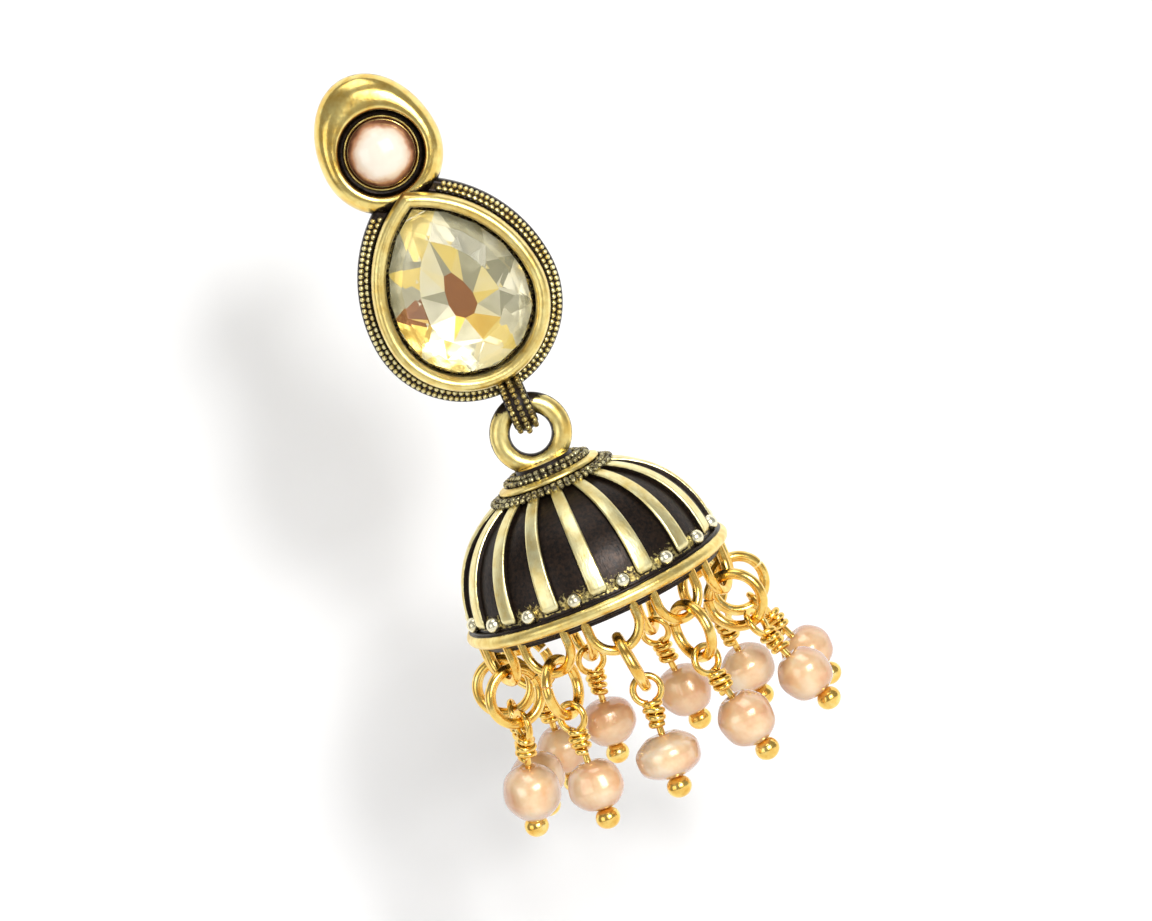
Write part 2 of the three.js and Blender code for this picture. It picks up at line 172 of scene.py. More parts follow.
def piece(name, parts, material, body, nodes, flat=False, sharp=35):
    """One object from shells, in metres, with their tones as an attribute of the points, or of the faces of a
    flat cut stone; the tones hold oxide, painted shade and painted reflections. Edges sharper than the given
    angle stay crisp. It rides on its body and stands for its CAD nodes."""
    parts = [facing_out(p) for p in parts]
    starts = np.cumsum([0] + [len(p[0]) for p in parts[:-1]])
    points = np.concatenate([p[0] for p in parts]) * MM
    triangles = np.concatenate([p[1] + s for p, s in zip(parts, starts)])
    mesh = bpy.data.meshes.new(name)
    mesh.vertices.add(len(points))
    mesh.vertices.foreach_set("co", points.astype(np.float32).ravel())
    mesh.loops.add(triangles.size)
    mesh.loops.foreach_set("vertex_index", triangles.astype(np.int32).ravel())
    mesh.polygons.add(len(triangles))
    mesh.polygons.foreach_set("loop_start", np.arange(0, triangles.size, 3, dtype=np.int32))
    mesh.update(calc_edges=True)
    tones = mesh.attributes.new("patina_and_painted_light", "FLOAT", "FACE" if flat else "POINT")
    tones.data.foreach_set("value", np.concatenate([p[2] for p in parts]).astype(np.float32))
    if flat:
        mesh.shade_flat()
    else:
        mesh.shade_smooth()
        mesh.set_sharp_from_angle(angle=math.radians(sharp))
    mesh.materials.append(material)
    obj = bpy.data.objects.new(name, mesh)
    bpy.context.scene.collection.objects.link(obj)
    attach(obj, body)
    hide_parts(*nodes)


def softened(corners, radius, steps=5):
    """A polyline whose inner corners become parabola arcs that start and end the radius away from them, or at
    0.45 of a shorter side."""
    p = np.asarray(corners, float)
    before, at, after = p[:-2], p[1:-1], p[2:]
    back, on = np.linalg.norm(before - at, axis=1), np.linalg.norm(after - at, axis=1)
    start = at + (before - at) * (np.minimum(radius, 0.45 * back) / back)[:, None]
    stop = at + (after - at) * (np.minimum(radius, 0.45 * on) / on)[:, None]
    t = np.linspace(0, 1, steps)[None, :, None]
    arcs = (1 - t) ** 2 * start[:, None] + 2 * t * (1 - t) * at[:, None] + t ** 2 * stop[:, None]
    return np.concatenate([p[:1], arcs.reshape(-1, 2), p[-1:]])


def turned(profile, segments):
    """A grid turned about Z: each (radius, height) row becomes a ring."""
    angle = np.linspace(0, TURN, segments, endpoint=False)
    radius, height = np.asarray(profile, float).T
    x = radius[:, None] * np.cos(angle)
    y = radius[:, None] * np.sin(angle)
    return np.stack([x, y, np.broadcast_to(height[:, None], x.shape)], -1)


def tube(path, radius, up, sides, closed=False):
    """A round section carried along a path: each ring lies across the path's tangent, with its first corner
    across from the up vector."""
    if closed:
        tangent = unit(np.roll(path, -1, 0) - np.roll(path, 1, 0))
    else:
        tangent = unit(np.gradient(path, axis=0))
    side = unit(np.cross(tangent, np.broadcast_to(up, path.shape)))
    lift = np.cross(side, tangent)
    angle = np.linspace(0, TURN, sides, endpoint=False)[None, :, None]
    return path[:, None] + radius * (np.cos(angle) * side[:, None] + np.sin(angle) * lift[:, None])


def ball(radius, rows, columns, tall=1.0):
    """A sphere as rings from pole to pole, stretched along Z by tall."""
    angle = np.linspace(0, math.pi, rows + 1)[1:-1]
    return turned(np.stack([radius * np.sin(angle), radius * tall * np.cos(angle)], -1), columns)


def beading(centres, radius, patina_and_painted_light):
    """A small bead at each centre, in one shell."""
    bead = shell(ball(radius, 5, 8), patina_and_painted_light)
    return repeated(bead, np.broadcast_to(np.eye(3), (len(centres), 3, 3)), centres)


# ---- Plate and setting ----

def leaning(points):
    """Points of the plate turned about the post's axis by the lean, lower end to the right."""
    x, y, z = points[..., 0], points[..., 1], points[..., 2]
    c, s = math.cos(LEAN), math.sin(LEAN)
    return np.stack([x * c - z * s, y, x * s + z * c], -1)


def pear_outline(offset, u):
    """The pear grown by offset, at shares u of the way round from the tip: a side arc, a half circle and the
    other side arc, whose centres stay where they are as the radii grow."""
    shift = PEAR_SIDE_RADIUS - PEAR_RADIUS
    side, round_end = PEAR_SIDE_RADIUS + offset, PEAR_RADIUS + offset
    tip = np.arccos(shift / side)
    share = PEAR_SIDE_SHARE
    first = tip * (1 - u / share)
    middle = -math.pi * (u - share) / (1 - 2 * share)
    last = math.pi - tip * (u - 1 + share) / share
    x = np.where(u < share, side * np.cos(first) - shift,
                 np.where(u < 1 - share, round_end * np.cos(middle), side * np.cos(last) + shift))
    z = np.where(u < share, side * np.sin(first),
                 np.where(u < 1 - share, round_end * np.sin(middle), side * np.sin(last)))
    return x, z


def pear_rings(profile, count=200):
    """Rings of pear outlines, one for each (offset, depth) row of a profile, in their place on the plate. The
    tip is cut off where it would reach into the round well."""
    offset, depth = np.asarray(profile, float).T
    u = np.linspace(0, 1, count, endpoint=False)
    x, z = pear_outline(offset[:, None], u[None, :])
    z = np.minimum(z - PEAR_DROP, -WELL_RADIUS)
    return leaning(np.stack([x, np.broadcast_to(-depth[:, None], x.shape), z], -1))


def even_on_pear(offset, depth, spacing):
    """Points at an even spacing along a pear outline, found from its running length, but none on the
    plate."""
    u = np.linspace(0, 1, 2001)
    x, z = pear_outline(offset, np.minimum(u, 1 - 1e-9))
    run = np.concatenate([[0], np.cumsum(np.hypot(np.diff(x), np.diff(z)))])
    count = int(round(run[-1] / spacing))
    at = np.arange(count) * run[-1] / count
    across, up = np.interp(at, run, x), np.interp(at, run, z)
    spots = np.stack([across, np.full(count, -depth), up - PEAR_DROP], -1)
    return leaning(spots[np.hypot(spots[:, 0], spots[:, 2]) > PLATE_BELOW + 0.1])


def pear_setting():
    """Flange and bezel as one profile carried round the pear: flat back, edge, dished flange, bezel wall with
    a rounded lip, inner wall and floor. The flange is oxidised and the lip bright, with the edge and the back
    between the two. The inner wall and the floor are darker below the lip, partly oxide and partly painted
    shade in the gap round the stone."""
    profile = softened([
        (-4.6, 0.03), (0.8, 0.03), (0.8, 0.95), (0.62, 1.2), (0.05, 1.1), (0, 1.3), (0.02, 2.5),
        (-0.12, 2.95), (-0.42, 3.06), (-0.72, 2.92), (-0.83, 2.55), (-0.8, 1.0), (-4.6, 1.0)], 0.16, 6)
    offset, depth = profile.T
    dark = 1 - ramp(depth, 1.5, 2.1)
    dark = np.where((depth < 1.0) & (offset > 0.5), 0.75, dark)
    dark = np.where(depth < 0.05, 0.42, dark)
    # Painted shade: the inner wall and the floor under the stone are darkened below the lip, partly oxide and
    # partly the shade in the gap round the stone.
    dark = np.where((offset < -0.6) & (depth > 0.5), 0.6 * (1 - ramp(depth, 2.4, 2.8)), dark)
    return shell(pear_rings(profile), dark[:, None])


def flange_beading():
    """Two rows of small beads along the flange, set close, the outer row smaller."""
    return [beading(even_on_pear(offset, depth, spacing), radius, 0.25)
            for offset, depth, spacing, radius in FLANGE_ROWS]


def plate_dome():
    """Rings from the egg outline inwards to the round well: spread 1 is the outline and spread 0 the well's
    edge, mixed linearly at each angle. The lip is domed. The well is oxidised, and so in part are the lip's
    outer foot, its lower end and the back."""
    profile = softened([
        (-1.6, 0), (1.0, 0), (1.0, 0.7), (0.86, 1.2), (0.6, 1.56), (0.3, 1.66), (0.06, 1.6), (0.0, 1.4),
        (-0.02, WELL_FLOOR), (-2.3, WELL_FLOOR)], 0.2, 6)
    spread, depth = profile.T[:, :, None]
    angle = np.linspace(0, TURN, 180, endpoint=False)[None, :]
    tall = np.where(np.sin(angle) > 0, PLATE_ABOVE, PLATE_BELOW)
    inside = WELL_RADIUS + np.minimum(spread, 0)
    out = np.maximum(spread, 0)
    x = np.cos(angle) * (inside + out * (PLATE_HALF_WIDTH - WELL_RADIUS))
    z = np.sin(angle) * (inside + out * (tall - WELL_RADIUS))
    dark = np.where(spread < 0.03, 1.0, 0.0) + ramp(-z, 2.35, 3.0) * ramp(1.75 - depth, 0.0, 0.12)
    dark = np.clip(dark + 0.62 * (1 - ramp(depth, 0.4, 1.1)) * (spread > 0.8), 0, 1)
    dark = np.where(depth < 0.02, 0.42, dark)
    y = np.broadcast_to(-depth, x.shape)
    return shell(leaning(np.stack([x, y, z], -1)), np.broadcast_to(dark, x.shape))


def pearl_rim():
    """A thin wire in a circle round the half pearl."""
    angle = np.linspace(0, TURN, 96, endpoint=False)
    depth = np.full(len(angle), -HALF_PEARL_FOOT)
    path = np.stack([PEARL_RIM_RADIUS * np.cos(angle), depth, PEARL_RIM_RADIUS * np.sin(angle)], -1)
    return shell(leaning(tube(path, PEARL_RIM_WIRE, (0, 1, 0), 10, True)), wrap_rows=True)


def eyelet():
    """A crowned band turned about the hinge's axis, with three rows of beads at even steps round it."""
    half, low, high = EYELET_WIDTH / 2, EYELET_HOLE, EYELET_OUTER
    profile = softened([(low, 0), (low, half), (high - 0.35, half), (high, 0), (high - 0.35, -half),
                        (low, -half), (low, -0.01)], 0.3)
    onto_x = np.array([[0, 0, 1], [1, 0, 0], [0, 1, 0]])
    band = moved(shell(turned(profile, 72), 0.85, wrap_rows=True), onto_x, HINGE)
    step = TURN / EYELET_BEADS
    parts = [band]
    for share, out, shift in ((-0.66, -0.22, 0.5), (0.0, -0.02, 0.0), (0.66, -0.22, 0.5)):
        turn = (np.arange(EYELET_BEADS) + shift) * step
        along = np.full(EYELET_BEADS, share * half)
        spots = np.stack([along, (high + out) * np.cos(turn), (high + out) * np.sin(turn)], -1)
        parts.append(beading(spots + HINGE, EYELET_BEAD, 0.54))
    return parts


def ear_post():
    """A turned pin along +Y with a solder fillet at its root and a rounded end."""
    t = np.linspace(0, 1, 8)
    fillet = np.stack([POST_RADIUS + POST_FILLET * (1 - t) ** 3, 0.55 * t], -1)
    tip = np.stack([POST_RADIUS * np.cos(t * 1.45), POST_LENGTH - 0.35 + 0.34 * np.sin(t * 1.45)], -1)
    onto_y = np.array([[1, 0, 0], [0, 0, 1], [0, -1, 0]])
    return moved(shell(turned(np.concatenate([[(0.8, -0.1)], fillet, tip]), 32), 0.1), onto_y)


def half_pearl_dome():
    """A cabochon: a quarter superellipse turned about the well's axis, with a flat foot. The tone attribute
    runs from 0 near the middle to 1 at the edge, for painted shade where the dome turns away."""
    t = np.linspace(0.02, 1, 22) * math.pi / 2
    cap = np.stack([HALF_PEARL_RADIUS * np.sin(t) ** 0.92, HALF_PEARL_FOOT + HALF_PEARL_RISE * np.cos(t)], -1)
    profile = np.concatenate([cap, [(1.96, 0.9), (0.5, 0.9)]])
    onto_front = np.array([[1, 0, 0], [0, 0, -1], [0, 1, 0]])
    points, triangles, tones = moved(shell(turned(profile, 96)), onto_front)
    # Painted shade: the tone rises toward the edge, where the dome turns away.
    edge = ramp(np.hypot(points[:, 0], points[:, 2]), 0.9, 2.0)
    return leaning(points), triangles, edge


# ---- Pear stone ----

def facets(rings):
    """Rings of equally many corners, by turns at whole and half steps, joined by triangles that point up and
    down by turns."""
    count = len(rings[0])
    i = np.arange(count)
    j = (i + 1) % count
    triangles = []
    for k in range(len(rings) - 1):
        low, high = k * count, (k + 1) * count
        near, far = (i, j) if k % 2 == 0 else (j, i)
        triangles.append(np.stack([low + i, low + j, high + near], -1))
        triangles.append(np.stack([high + near, low + far, high + far], -1))
    return np.concatenate(rings), np.concatenate(triangles)


def stone_ring(offset, depth, count, half_step):
    """Corners evenly shared round a pear outline, started half a step on if asked."""
    u = (np.arange(count) + 0.5 * half_step) / count
    x, z = pear_outline(offset, u)
    return leaning(np.stack([x, np.full(count, -depth), z - PEAR_DROP], -1))


def cut_stone(levels, count):
    """A faceted closed stone through (offset, depth) levels, with flat ends filled as fans, and no tone on
    its faces."""
    rings = [stone_ring(o, d, count, k % 2) for k, (o, d) in enumerate(levels)]
    points, triangles = facets(rings)
    i = np.arange(count)
    j = (i + 1) % count
    last = (len(rings) - 1) * count
    hub = len(points)
    ends = np.stack([rings[0].mean(0), rings[-1].mean(0)])
    first_fan = np.stack([np.full(count, hub), j, i], -1)
    last_fan = np.stack([np.full(count, hub + 1), last + i, last + j], -1)
    triangles = np.concatenate([triangles, first_fan, last_fan])
    return np.concatenate([points, ends]), triangles, np.zeros(len(triangles))


def stone_crown():
    """The clear upper half, from the foil up to the table."""
    return cut_stone(CROWN_LEVELS, CROWN_SIDES)


def stone_foil():
    """The foiled lower half, a shallow faceted dish under the crown, with painted reflections. A facet's tone
    is a drawn number plus its place across the stone, from the lower left to the upper right, and the middle
    is a painted brown reflection."""
    points, triangles, _ = cut_stone(FOIL_LEVELS, FOIL_SIDES)
    place = points[triangles].mean(1)
    # Painted reflections: the tone rises toward the upper right, where the facets turn ivory and silver grey,
    # and a drawn number scatters it.
    across = (0.8 * place[:, 0] + 0.6 * (place[:, 2] + PEAR_DROP)) / PEAR_RADIUS
    drawn = np.random.default_rng(12).uniform(0, 1, len(triangles))
    tones = np.clip(0.52 + 0.32 * across + 0.95 * (drawn - 0.5), 0, 1)
    # Painted reflection: the middle facets are dark brown.
    tones[-FOIL_SIDES:] = 0.02
    return points, triangles, tones


# ---- Bell ----

def shell_angle(height):
    """The profile's angle at a height above the rim."""
    return math.asin((height / SHELL_HEIGHT) ** (SHELL_POWER / 2))


def on_shell(angle, rise):
    """(radius, height) on the bell's superellipse at an angle above the rim, grown outwards by rise."""
    power = 2 / SHELL_POWER
    radius = (SHELL_RADIUS + rise) * np.cos(angle) ** power
    return radius, (SHELL_HEIGHT + rise) * np.sin(angle) ** power - RIM_DROP


def bell_shell():
    """Stepped cap, superellipse dome, lips, skirt and hollow inside, in one turned profile. The recesses are
    oxidised, with gold left on the ledge of the cap, in a mottled belt above the rim and in patches on the
    inside."""
    cap = softened([(0.1, -3.5), (1.68, -3.52), (1.8, -3.85), (2.75, -4.18), (3.08, -4.3), (3.1, -4.48),
                    (2.9, -4.6)], 0.09)
    out = np.radians(np.linspace(70, 4, 60))
    dome = np.stack(on_shell(out, 0.0), -1)
    rim = softened([
        (SHELL_RADIUS + 0.02, -RIM_DROP + 0.5), (LIP_RADIUS - 0.06, -RIM_DROP + LIP_HALF),
        (LIP_RADIUS, -RIM_DROP + 0.3), (LIP_RADIUS, -RIM_DROP - 0.3),
        (LIP_RADIUS - 0.06, -RIM_DROP - LIP_HALF), (SHELL_RADIUS, -RIM_DROP - 0.6),
        (SHELL_RADIUS, -RIM_DROP - SKIRT_DEPTH), (SHELL_RADIUS - SHELL_WALL, -RIM_DROP - SKIRT_DEPTH)], 0.1)
    inner = np.stack(on_shell(np.radians(np.linspace(0, 88, 40)), -SHELL_WALL), -1)
    tones = np.concatenate([
        np.where((cap[:, 0] > 2.7) & (cap[:, 1] > -4.5) | (cap[:, 0] < 1.6), 0.05, 0.9),
        1.0 - 0.46 * ramp(-dome[:, 1], RIM_DROP - 2.6, RIM_DROP - 0.9),
        np.full(len(rim), 0.85), np.full(len(inner), 0.55)])
    profile = np.concatenate([cap, dome, rim, inner])
    return moved(shell(turned(profile, 256), tones[:, None]), None, HINGE)


def bell_ribs():
    """A flat-topped section carried up the dome, widening from the cap to the rim, with rounded corners and
    rounded ends. Its sides and ends are oxidised. One rib, then sixteen copies about the axis."""
    steps = 64
    top_angle = math.acos((RIB_TOP_RADIUS / SHELL_RADIUS) ** (SHELL_POWER / 2))
    angle = np.linspace(shell_angle(RIB_FOOT), top_angle, steps)
    share = np.linspace(0, 1, steps)
    half = (RIB_FOOT_WIDTH + (RIB_TOP_WIDTH - RIB_FOOT_WIDTH) * share ** 0.9) / 2
    around = np.linspace(0, TURN, 29)[:-1]
    across = np.sign(np.cos(around)) * np.abs(np.cos(around)) ** 0.28
    rise = np.sign(np.sin(around)) * np.abs(np.sin(around)) ** 0.45
    end = 1 - 0.6 * (1 - ramp(9 * np.minimum(share, 1 - share), 0, 0.308))
    x = (half * (0.55 + 0.45 * end))[:, None] * across
    lift = (RIB_RISE * end)[:, None] * rise + 0.02
    radius, height = on_shell(angle, 0.0)
    normal = unit(np.stack([np.gradient(height), -np.gradient(radius)], -1))
    y = -(radius[:, None] + lift * normal[:, :1])
    z = height[:, None] + lift * normal[:, 1:]
    dark = np.maximum(1 - ramp(rise, 0.35, 0.85), 0.9 * (1 - ramp(share * 60, 0.0, 1.6))[:, None])
    rib = shell(np.stack([x, y, z], -1), dark)
    return moved(around_bell(rib, RIBS), None, HINGE)


def rim_band():
    """A half-round band: an ellipse turned about the axis, bright on its crest and dark at its edges."""
    angle = np.linspace(0, TURN, 33)[:-1]
    profile = np.stack([BAND_RADIUS + BAND_OUT * np.cos(angle), -RIM_DROP + BAND_UP * np.sin(angle)], -1)
    dark = np.maximum(ramp(np.abs(np.sin(angle)), 0.8, 1.0), np.cos(angle) < -0.1)
    return moved(shell(turned(profile, 256), dark[:, None], wrap_rows=True), None, HINGE)


def granules():
    """A ball between each pair of ribs, just above the rim, dark round its foot."""
    radius, _ = on_shell(shell_angle(GRANULE_LEVEL), 0.12)
    points, triangles, _ = shell(ball(GRANULE_RADIUS, 12, 20))
    dark = ramp(points[:, 1], 0.0, 0.3)
    grain = (points + (0, -radius, GRANULE_LEVEL - RIM_DROP), triangles, dark)
    return moved(around_bell(grain, RIBS, 0.5), None, HINGE)


def bead_loops():
    """A wire U: a straight leg, a half turn and a straight leg in the plane across the radius, with its legs
    sunk in the skirt."""
    arc = math.pi * LOOP_RADIUS
    run = np.linspace(0, arc + 2 * LOOP_LEG, 48)
    angle = np.clip((run - LOOP_LEG) / LOOP_RADIUS, 0, math.pi)
    up = np.maximum(LOOP_LEG - run, 0) + np.maximum(run - LOOP_LEG - arc, 0)
    path = np.stack([-LOOP_RADIUS * np.cos(angle), np.zeros(len(run)), up - LOOP_RADIUS * np.sin(angle)], -1)
    grid = tube(path, LOOP_WIRE, (0, 1, 0), 14) + (0, -LOOP_CIRCLE, -RIM_DROP - LOOP_DROP)
    dark = 0.7 * ramp(up, 0.35, 0.7)
    return moved(around_bell(shell(grid, dark[:, None]), LOOPS), None, HINGE)


def cap_beading():
    """Rows of small beads round the cap and the dome's shoulder, each a ring of even steps."""
    parts = []
    for radius, height, count, size in CAP_ROWS:
        angle = np.arange(count) * TURN / count
        spots = np.stack([radius * np.cos(angle), radius * np.sin(angle), np.full(count, height)], -1)
        parts.append(beading(spots + HINGE, size, 0.56))
    return parts


def hanging_ring():
    """A fat ring in the front plane, oxidised where it is soldered to the cap, with painted shade on the
    inner side of its hole, on its outer edge and where it passes through the eyelet.
    """
    angle = np.linspace(0, TURN, 120, endpoint=False)
    path = RING_RADIUS * np.stack([np.sin(angle), np.zeros(len(angle)), np.cos(angle) - 1], -1)
    points, triangles, _ = shell(tube(path, RING_WIRE, (0, 1, 0), 32, True), wrap_rows=True)
    inward = RING_RADIUS - np.hypot(points[:, 0], points[:, 2] + RING_RADIUS)
    # Painted shade: the inner side, the thin outer edge and the part in the eyelet are darkened; the bottom
    # is oxide at the solder.
    dark = np.maximum(0.9 * ramp(inward, 0.3, 0.6), ramp(-points[:, 2], 3.2, 3.75))
    dark = np.maximum(dark, 0.8 * ramp(points[:, 2], -0.5, 0.3))
    dark = np.maximum(dark, 0.7 * ramp(-inward, 0.47, 0.6))
    return moved((points, triangles, dark), None, HINGE)


# ---- Pearl drops ----

def node_points(name):
    """The separate corners of a CAD node, in millimetres."""
    mesh = frame["nodes"][name].data
    flat = np.empty(len(mesh.vertices) * 3, np.float32)
    mesh.vertices.foreach_get("co", flat)
    return np.unique(np.round(flat.reshape(-1, 3) / MM, 3), axis=0)


def own_axes(points):
    """The middle of a node's corners and its three own directions, longest first, from their spread."""
    middle = points.mean(0)
    return middle, np.linalg.svd(points - middle, full_matrices=False)[2]


def jump_ring(index):
    """A nearly closed wire ring about its CAD node's flattest direction, with its cut at the side."""
    middle, (_, _, normal) = own_axes(node_points(f"jump_ring_{index}"))
    across = unit(np.cross(normal, (0, 0, 1)))
    high = np.cross(across, normal)
    angle = np.radians(np.linspace(2.2, 357.8, 72)) + (0.35 if index % 2 else math.pi - 0.35)
    path = middle + LINK_RADIUS * (np.cos(angle)[:, None] * across + np.sin(angle)[:, None] * high)
    return shell(tube(path, LINK_WIRE, normal, 16), 0.0)


def pin_axes(index):
    """Where the head pin turns on its jump ring, its upward direction and the flat direction of its eye."""
    points = node_points(f"head_pin_{index}")
    middle, (up, _, flat) = own_axes(points)
    up = up * np.sign(up[2])
    top = middle + up * (((points - middle) @ up).max() - PIN_TOP)
    return top, up, flat


def head_pin(index, bead_height):
    """Two wires: one up through the pearl and round the eye, and one wound down the neck as a helix whose
    radius and pitch waver a little. A ball closes the pin below the pearl."""
    top, up, flat = pin_axes(index)
    side = np.cross(flat, up)
    eye = PIN_TOP - PIN_WIRE - EYE_RADIUS
    below = -BEAD_TOP - bead_height - BALL_DROP
    turn = np.linspace(-math.pi / 2 + 0.3, 3 * math.pi / 2 - 0.25, 44)
    stem = np.stack([np.zeros(10), np.linspace(below, eye - EYE_RADIUS - 0.15, 10)], -1)
    loop = np.stack([EYE_RADIUS * np.cos(turn), eye + EYE_RADIUS * np.sin(turn)], -1)
    line = np.concatenate([stem, loop])
    wire = shell(tube(top + line[:, :1] * side + line[:, 1:] * up, PIN_WIRE, flat, 12))
    rng = np.random.default_rng(40 + index)
    t = np.linspace(0, 1, 80)
    phase = t * WRAP_TURNS * TURN + math.pi
    radius = WRAP_RADIUS + 0.05 * np.sin(2.3 * phase + rng.uniform(0, TURN)) + 0.08 * np.sin(math.pi * t)
    fall = eye - EYE_RADIUS + 0.06 - t * (BEAD_TOP - 0.35 + eye - EYE_RADIUS)
    fall = fall + 0.05 * np.sin(phase * 1.3 + rng.uniform(0, TURN))
    out = np.cos(phase)[:, None] * side + np.sin(phase)[:, None] * flat
    coil = shell(tube(top + radius[:, None] * out + fall[:, None] * up, PIN_WIRE * 0.95, out, 10))
    end = moved(shell(ball(BALL_RADIUS, 12, 18, 0.9)), np.stack([side, flat, up], -1), top + below * up)
    return [wire, coil, end]


def pearl(index):
    """A pearl on its pin: a superellipsoid of its CAD node's width and height, with two or three low waves
    round it, faint rings of growth, and a dimple at each hole."""
    points = node_points(f"pearl_{index}")
    _, up, flat = pin_axes(index)
    side = np.cross(flat, up)
    middle = points.mean(0)
    along = (points - middle) @ up
    height = np.ptp(along)
    width = 2 * np.linalg.norm(points - middle - along[:, None] * up, axis=1).max()
    rng = np.random.default_rng(7 + index)
    rows, columns = 44, 64
    polar = np.linspace(0, math.pi, rows + 2)[1:-1, None]
    round_it = np.linspace(0, TURN, columns, endpoint=False)[None, :]
    a, b, c, d = rng.uniform(0, TURN, 4)
    size = (1 + 0.035 * np.sin(2 * round_it + a) * np.sin(polar) ** 2
            + 0.03 * np.sin(3 * round_it + b) * np.sin(polar) ** 2 * np.cos(polar + c)
            + 0.025 * np.cos(2 * polar + d) + 0.012 * np.sin(7 * polar + a))
    size = size / size.max()
    radius = width / 2 * np.sin(polar) ** 0.9 * size
    drop = height / 2 * np.sign(np.cos(polar)) * np.abs(np.cos(polar)) ** 0.95 * size
    drop = drop * (1 - 0.1 * np.exp(-(np.sin(polar) / 0.22) ** 2))
    grid = (middle + (radius * np.cos(round_it))[..., None] * side
            + (radius * np.sin(round_it))[..., None] * flat + drop[..., None] * up)
    return shell(grid, rng.uniform(0, 1)), height


# ---- Finishes ----

def colour(red, green, blue):
    """A colour given in 0 to 255 display values, as the linear values that shaders take."""
    c = np.array([red, green, blue]) / 255
    linear = np.where(c <= 0.04045, c / 12.92, ((c + 0.055) / 1.055) ** 2.4)
    return (*linear, 1.0)


class Finish:
    """A material under construction: node calls that add and link in one step."""

    def __init__(self, name):
        self.material = bpy.data.materials.new(name)
        self.material.use_nodes = True
        self.tree = self.material.node_tree
        self.surface = self.tree.nodes["Principled BSDF"]

    def node(self, kind, inputs=None, **settings):
        """A node with its settings, and inputs given as values or as sockets to link from."""
        made = self.tree.nodes.new("ShaderNode" + kind)
        for key, value in settings.items():
            setattr(made, key, value)
        for key, value in (inputs or {}).items():
            self.put(made.inputs[key], value)
        return made

    def put(self, socket, value):
        """Links a socket to this one, or sets its value."""
        if isinstance(value, bpy.types.NodeSocket):
            self.tree.links.new(value, socket)
        else:
            socket.default_value = value

    def set(self, **values):
        """Sets or links inputs of the surface shader, with _ for a space."""
        for key, value in values.items():
            self.put(self.surface.inputs[key.replace("_", " ")], value)

    def place(self, stretch=(1, 1, 1), turn=(0, 0, 0)):
        """The piece's own coordinates in millimetres, stretched and turned."""
        where = self.node("TexCoord").outputs["Object"]
        scale = tuple(s / MM for s in stretch)
        return self.node("Mapping", {"Vector": where, "Scale": scale, "Rotation": turn}).outputs["Vector"]

    def noise(self, scale, detail=3.0, rough=0.5, where=None):
        """Noise from 0 to 1 with so many waves to the millimetre."""
        vector = self.place() if where is None else where
        return self.node("TexNoise", {"Vector": vector, "Scale": scale, "Detail": detail,
                                      "Roughness": rough}).outputs["Fac"]

    def curve(self, value, *stops):
        """A colour ramp through (position, colour) stops."""
        made = self.node("ValToRGB", {"Fac": value})
        elements = made.color_ramp.elements
        while len(elements) < len(stops):
            elements.new(0.5)
        for element, (position, tint) in zip(elements, stops):
            element.position, element.color = position, tint
        return made.outputs["Color"]

    def mix(self, share, a, b):
        """Two colours mixed by a share."""
        made = self.node("Mix", data_type="RGBA")
        self.put(made.inputs["Factor"], share)
        self.put(made.inputs[6], a)
        self.put(made.inputs[7], b)
        return made.outputs[2]

    def math(self, operation, a, b):
        """Two numbers combined."""
        return self.node("Math", {0: a, 1: b}, operation=operation).outputs[0]

    def bump(self, height, distance, strength, after=None):
        """A bump of a height in millimetres, on top of another one if given."""
        inputs = {"Height": height, "Distance": distance * MM, "Strength": strength}
        if after is not None:
            inputs["Normal"] = after
        return self.node("Bump", inputs).outputs["Normal"]


def antique_gold(name, bright, shade, rough, strokes):
    """Gold plate rubbed bright over dark oxide, mixed by the tone attribute broken up by noise; the attribute
    holds the oxide and, in a few places, painted shade. Fine slanted strokes and a soft unevenness lie in the
    metal."""
    f = Finish(name)
    patina_and_painted_light = f.node("Attribute", attribute_name="patina_and_painted_light").outputs["Fac"]
    cloud = f.noise(1.1, 4, 0.6)
    speck = f.noise(5.0, 3, 0.6)
    broken = f.math("ADD", patina_and_painted_light, f.math("MULTIPLY", f.math("SUBTRACT", speck, 0.5), 0.75))
    share = f.curve(broken, (0.42, (0, 0, 0, 1)), (0.62, (1, 1, 1, 1)))
    gold = f.curve(cloud, (0.3, shade), (0.62, bright))
    oxide = f.curve(speck, (0.35, colour(16, 10, 7)), (0.72, colour(52, 36, 24)))
    f.set(Base_Color=f.mix(share, gold, oxide))
    f.set(Metallic=f.math("SUBTRACT", 1.0, f.math("MULTIPLY", share, 0.45)))
    smear = f.math("MULTIPLY", f.noise(2.4, 4, 0.65), 0.16)
    f.set(Roughness=f.math("ADD", f.math("ADD", smear, rough - 0.06), f.math("MULTIPLY", share, 0.04)))
    brushed = f.noise(1.0, 2, 0.5, f.place((11, 11, 1.6), (0, 0, 0.6)))
    dents = f.bump(f.noise(0.9, 2, 0.5), 0.05, 0.6)
    f.set(Normal=f.bump(brushed, 0.02, strokes, dents))
    return f.material


def wire_gold():
    """Bright, warmer plate on drawn wire, with faint worn spots and a fine drawn grain."""
    f = Finish("wire_gold")
    worn = f.noise(1.6, 4, 0.6)
    f.set(Base_Color=f.curve(worn, (0.3, colour(238, 182, 82)), (0.55, colour(252, 214, 118)),
                             (0.8, colour(255, 238, 172))), Metallic=1.0)
    f.set(Roughness=f.math("ADD", f.math("MULTIPLY", f.noise(3.0, 3), 0.14), 0.12))
    f.set(Normal=f.bump(f.noise(6.0, 3, 0.6), 0.012, 0.5))
    return f.material


